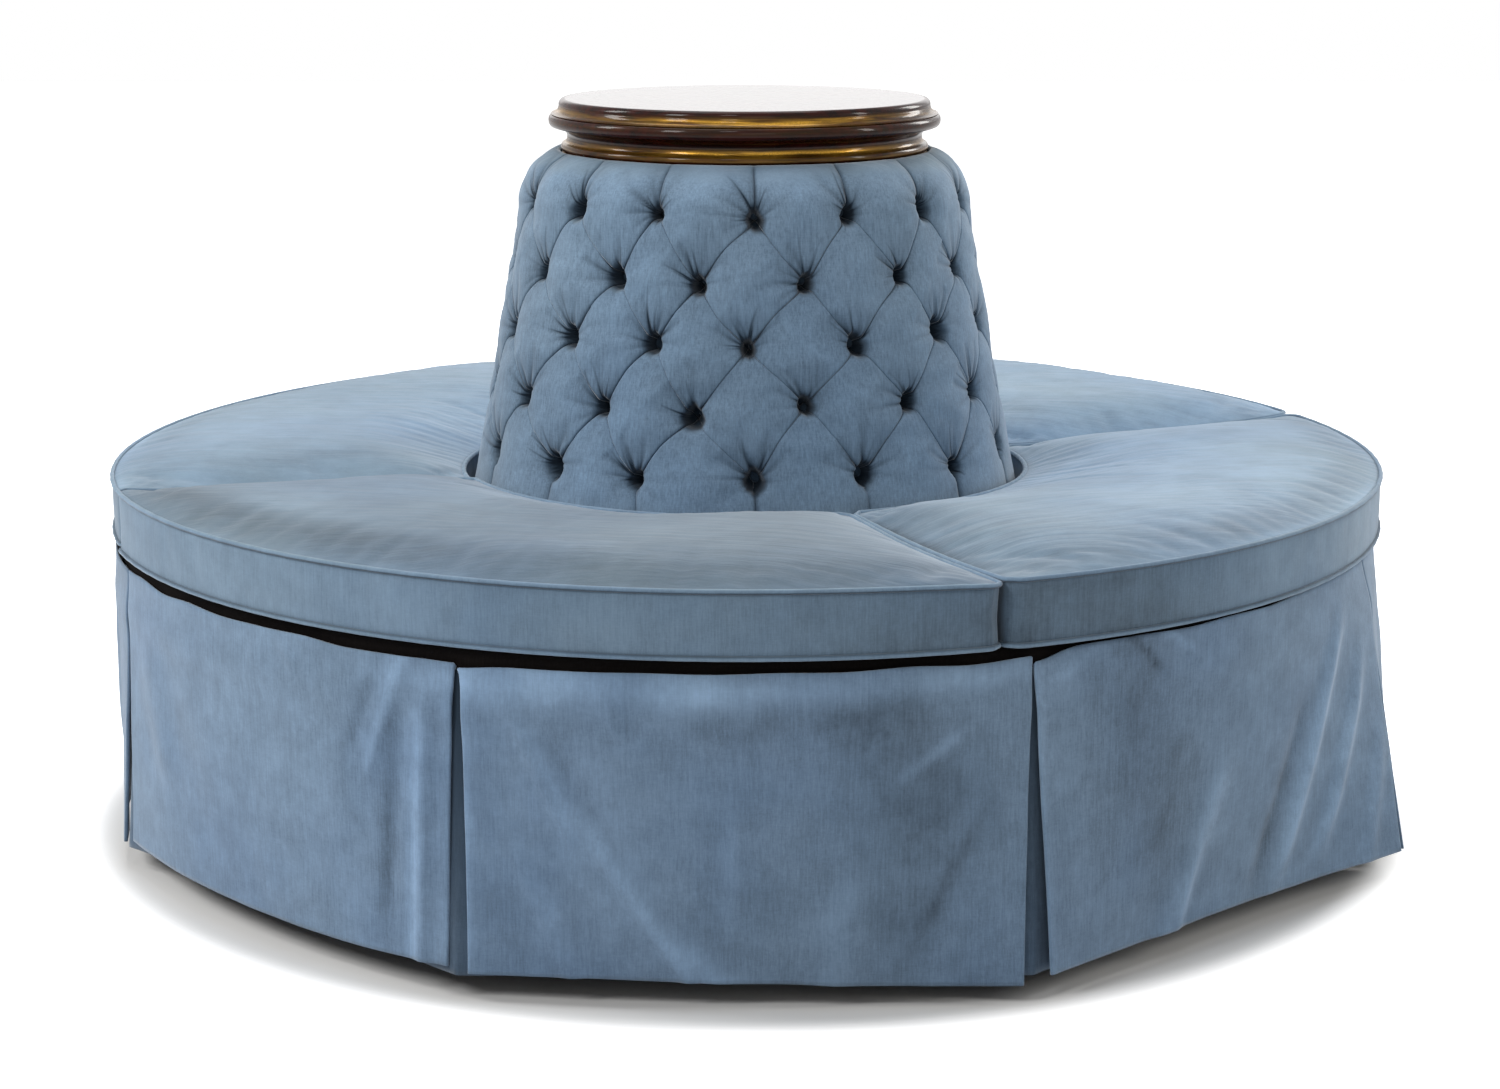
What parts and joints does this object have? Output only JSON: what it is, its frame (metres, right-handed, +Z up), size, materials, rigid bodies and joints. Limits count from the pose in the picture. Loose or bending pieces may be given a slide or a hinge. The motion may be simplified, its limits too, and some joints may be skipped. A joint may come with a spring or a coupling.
{
  "type": "round settee",
  "caption": "Round borne settee: a ring of loose wedge cushions on a pleated, skirted base round a tapered, diamond-tufted column with a turned dark wood top.",
  "frame": {"origin": "on the floor, under the middle of the column", "axes": "+Z up along the column's axis; -Y is the side seen in front, +X is to its right"},
  "size_m": [1.6484, 1.6484, 0.9357],
  "materials": {
    "cushion_cloth": "blue-grey brushed cotton velvet",
    "skirt_cloth": "the same velvet, lined, hanging",
    "deck_cloth": "plain near-black deck cloth over padding",
    "dust_cloth": "black cambric",
    "foam": "bare upholstery foam",
    "polished_wood": "dark mahogany, gloss, gilded in the coves",
    "carcass_timber": "planed softwood",
    "plywood": "sanded plywood",
    "steel": "zinc plated"
  },
  "bodies": {
    "frame": {"leg_1": "polished_wood", "leg_2": "polished_wood", "leg_3": "polished_wood", "leg_4": "polished_wood", "leg_5": "polished_wood", "leg_6": "polished_wood", "leg_7": "polished_wood", "leg_8": "polished_wood", "centre_leg": "polished_wood", "rail_1": "carcass_timber", "rail_2": "carcass_timber", "rail_3": "carcass_timber", "rail_4": "carcass_timber", "rail_5": "carcass_timber", "rail_6": "carcass_timber", "rail_7": "carcass_timber", "rail_8": "carcass_timber", "cross_beam_x": "carcass_timber", "cross_beam_y": "carcass_timber", "deck_board_left": "plywood", "deck_board_right": "plywood", "deck_pad": "deck_cloth", "dust_cover": "dust_cloth", "skirt_panel_1": "skirt_cloth", "skirt_panel_2": "skirt_cloth", "skirt_panel_3": "skirt_cloth", "skirt_panel_4": "skirt_cloth", "skirt_panel_5": "skirt_cloth", "skirt_panel_6": "skirt_cloth", "skirt_panel_7": "skirt_cloth", "skirt_panel_8": "skirt_cloth", "pleat_underlay_1": "skirt_cloth", "pleat_underlay_2": "skirt_cloth", "pleat_underlay_3": "skirt_cloth", "pleat_underlay_4": "skirt_cloth", "pleat_underlay_5": "skirt_cloth", "pleat_underlay_6": "skirt_cloth", "pleat_underlay_7": "skirt_cloth", "pleat_underlay_8": "skirt_cloth", "column_base_board": "plywood", "column_top_board": "plywood", "column_rib_x": "plywood", "column_rib_y": "plywood", "column_shell": "plywood", "tufted_pad": "cushion_cloth", "under_disc": "polished_wood", "top_disc": "polished_wood", "top_screw_1": "steel", "top_screw_2": "steel", "top_screw_3": "steel", "top_screw_4": "steel"},
    "cushion_front": {"cushion_cover_front": "cushion_cloth", "cushion_core_front": "foam"},
    "cushion_right": {"cushion_cover_right": "cushion_cloth", "cushion_core_right": "foam"},
    "cushion_back": {"cushion_cover_back": "cushion_cloth", "cushion_core_back": "foam"},
    "cushion_left": {"cushion_cover_left": "cushion_cloth", "cushion_core_left": "foam"}
  },
  "joints": [
    {"name": "cushion_front_lift", "type": "slide", "parent": "frame", "child": "cushion_front", "axis": [0, 0, 1], "range_m": [0, 0.25]},
    {"name": "cushion_right_lift", "type": "slide", "parent": "frame", "child": "cushion_right", "axis": [0, 0, 1], "range_m": [0, 0.25]},
    {"name": "cushion_back_lift", "type": "slide", "parent": "frame", "child": "cushion_back", "axis": [0, 0, 1], "range_m": [0, 0.25]},
    {"name": "cushion_left_lift", "type": "slide", "parent": "frame", "child": "cushion_left", "axis": [0, 0, 1], "range_m": [0, 0.25]}
  ]
}
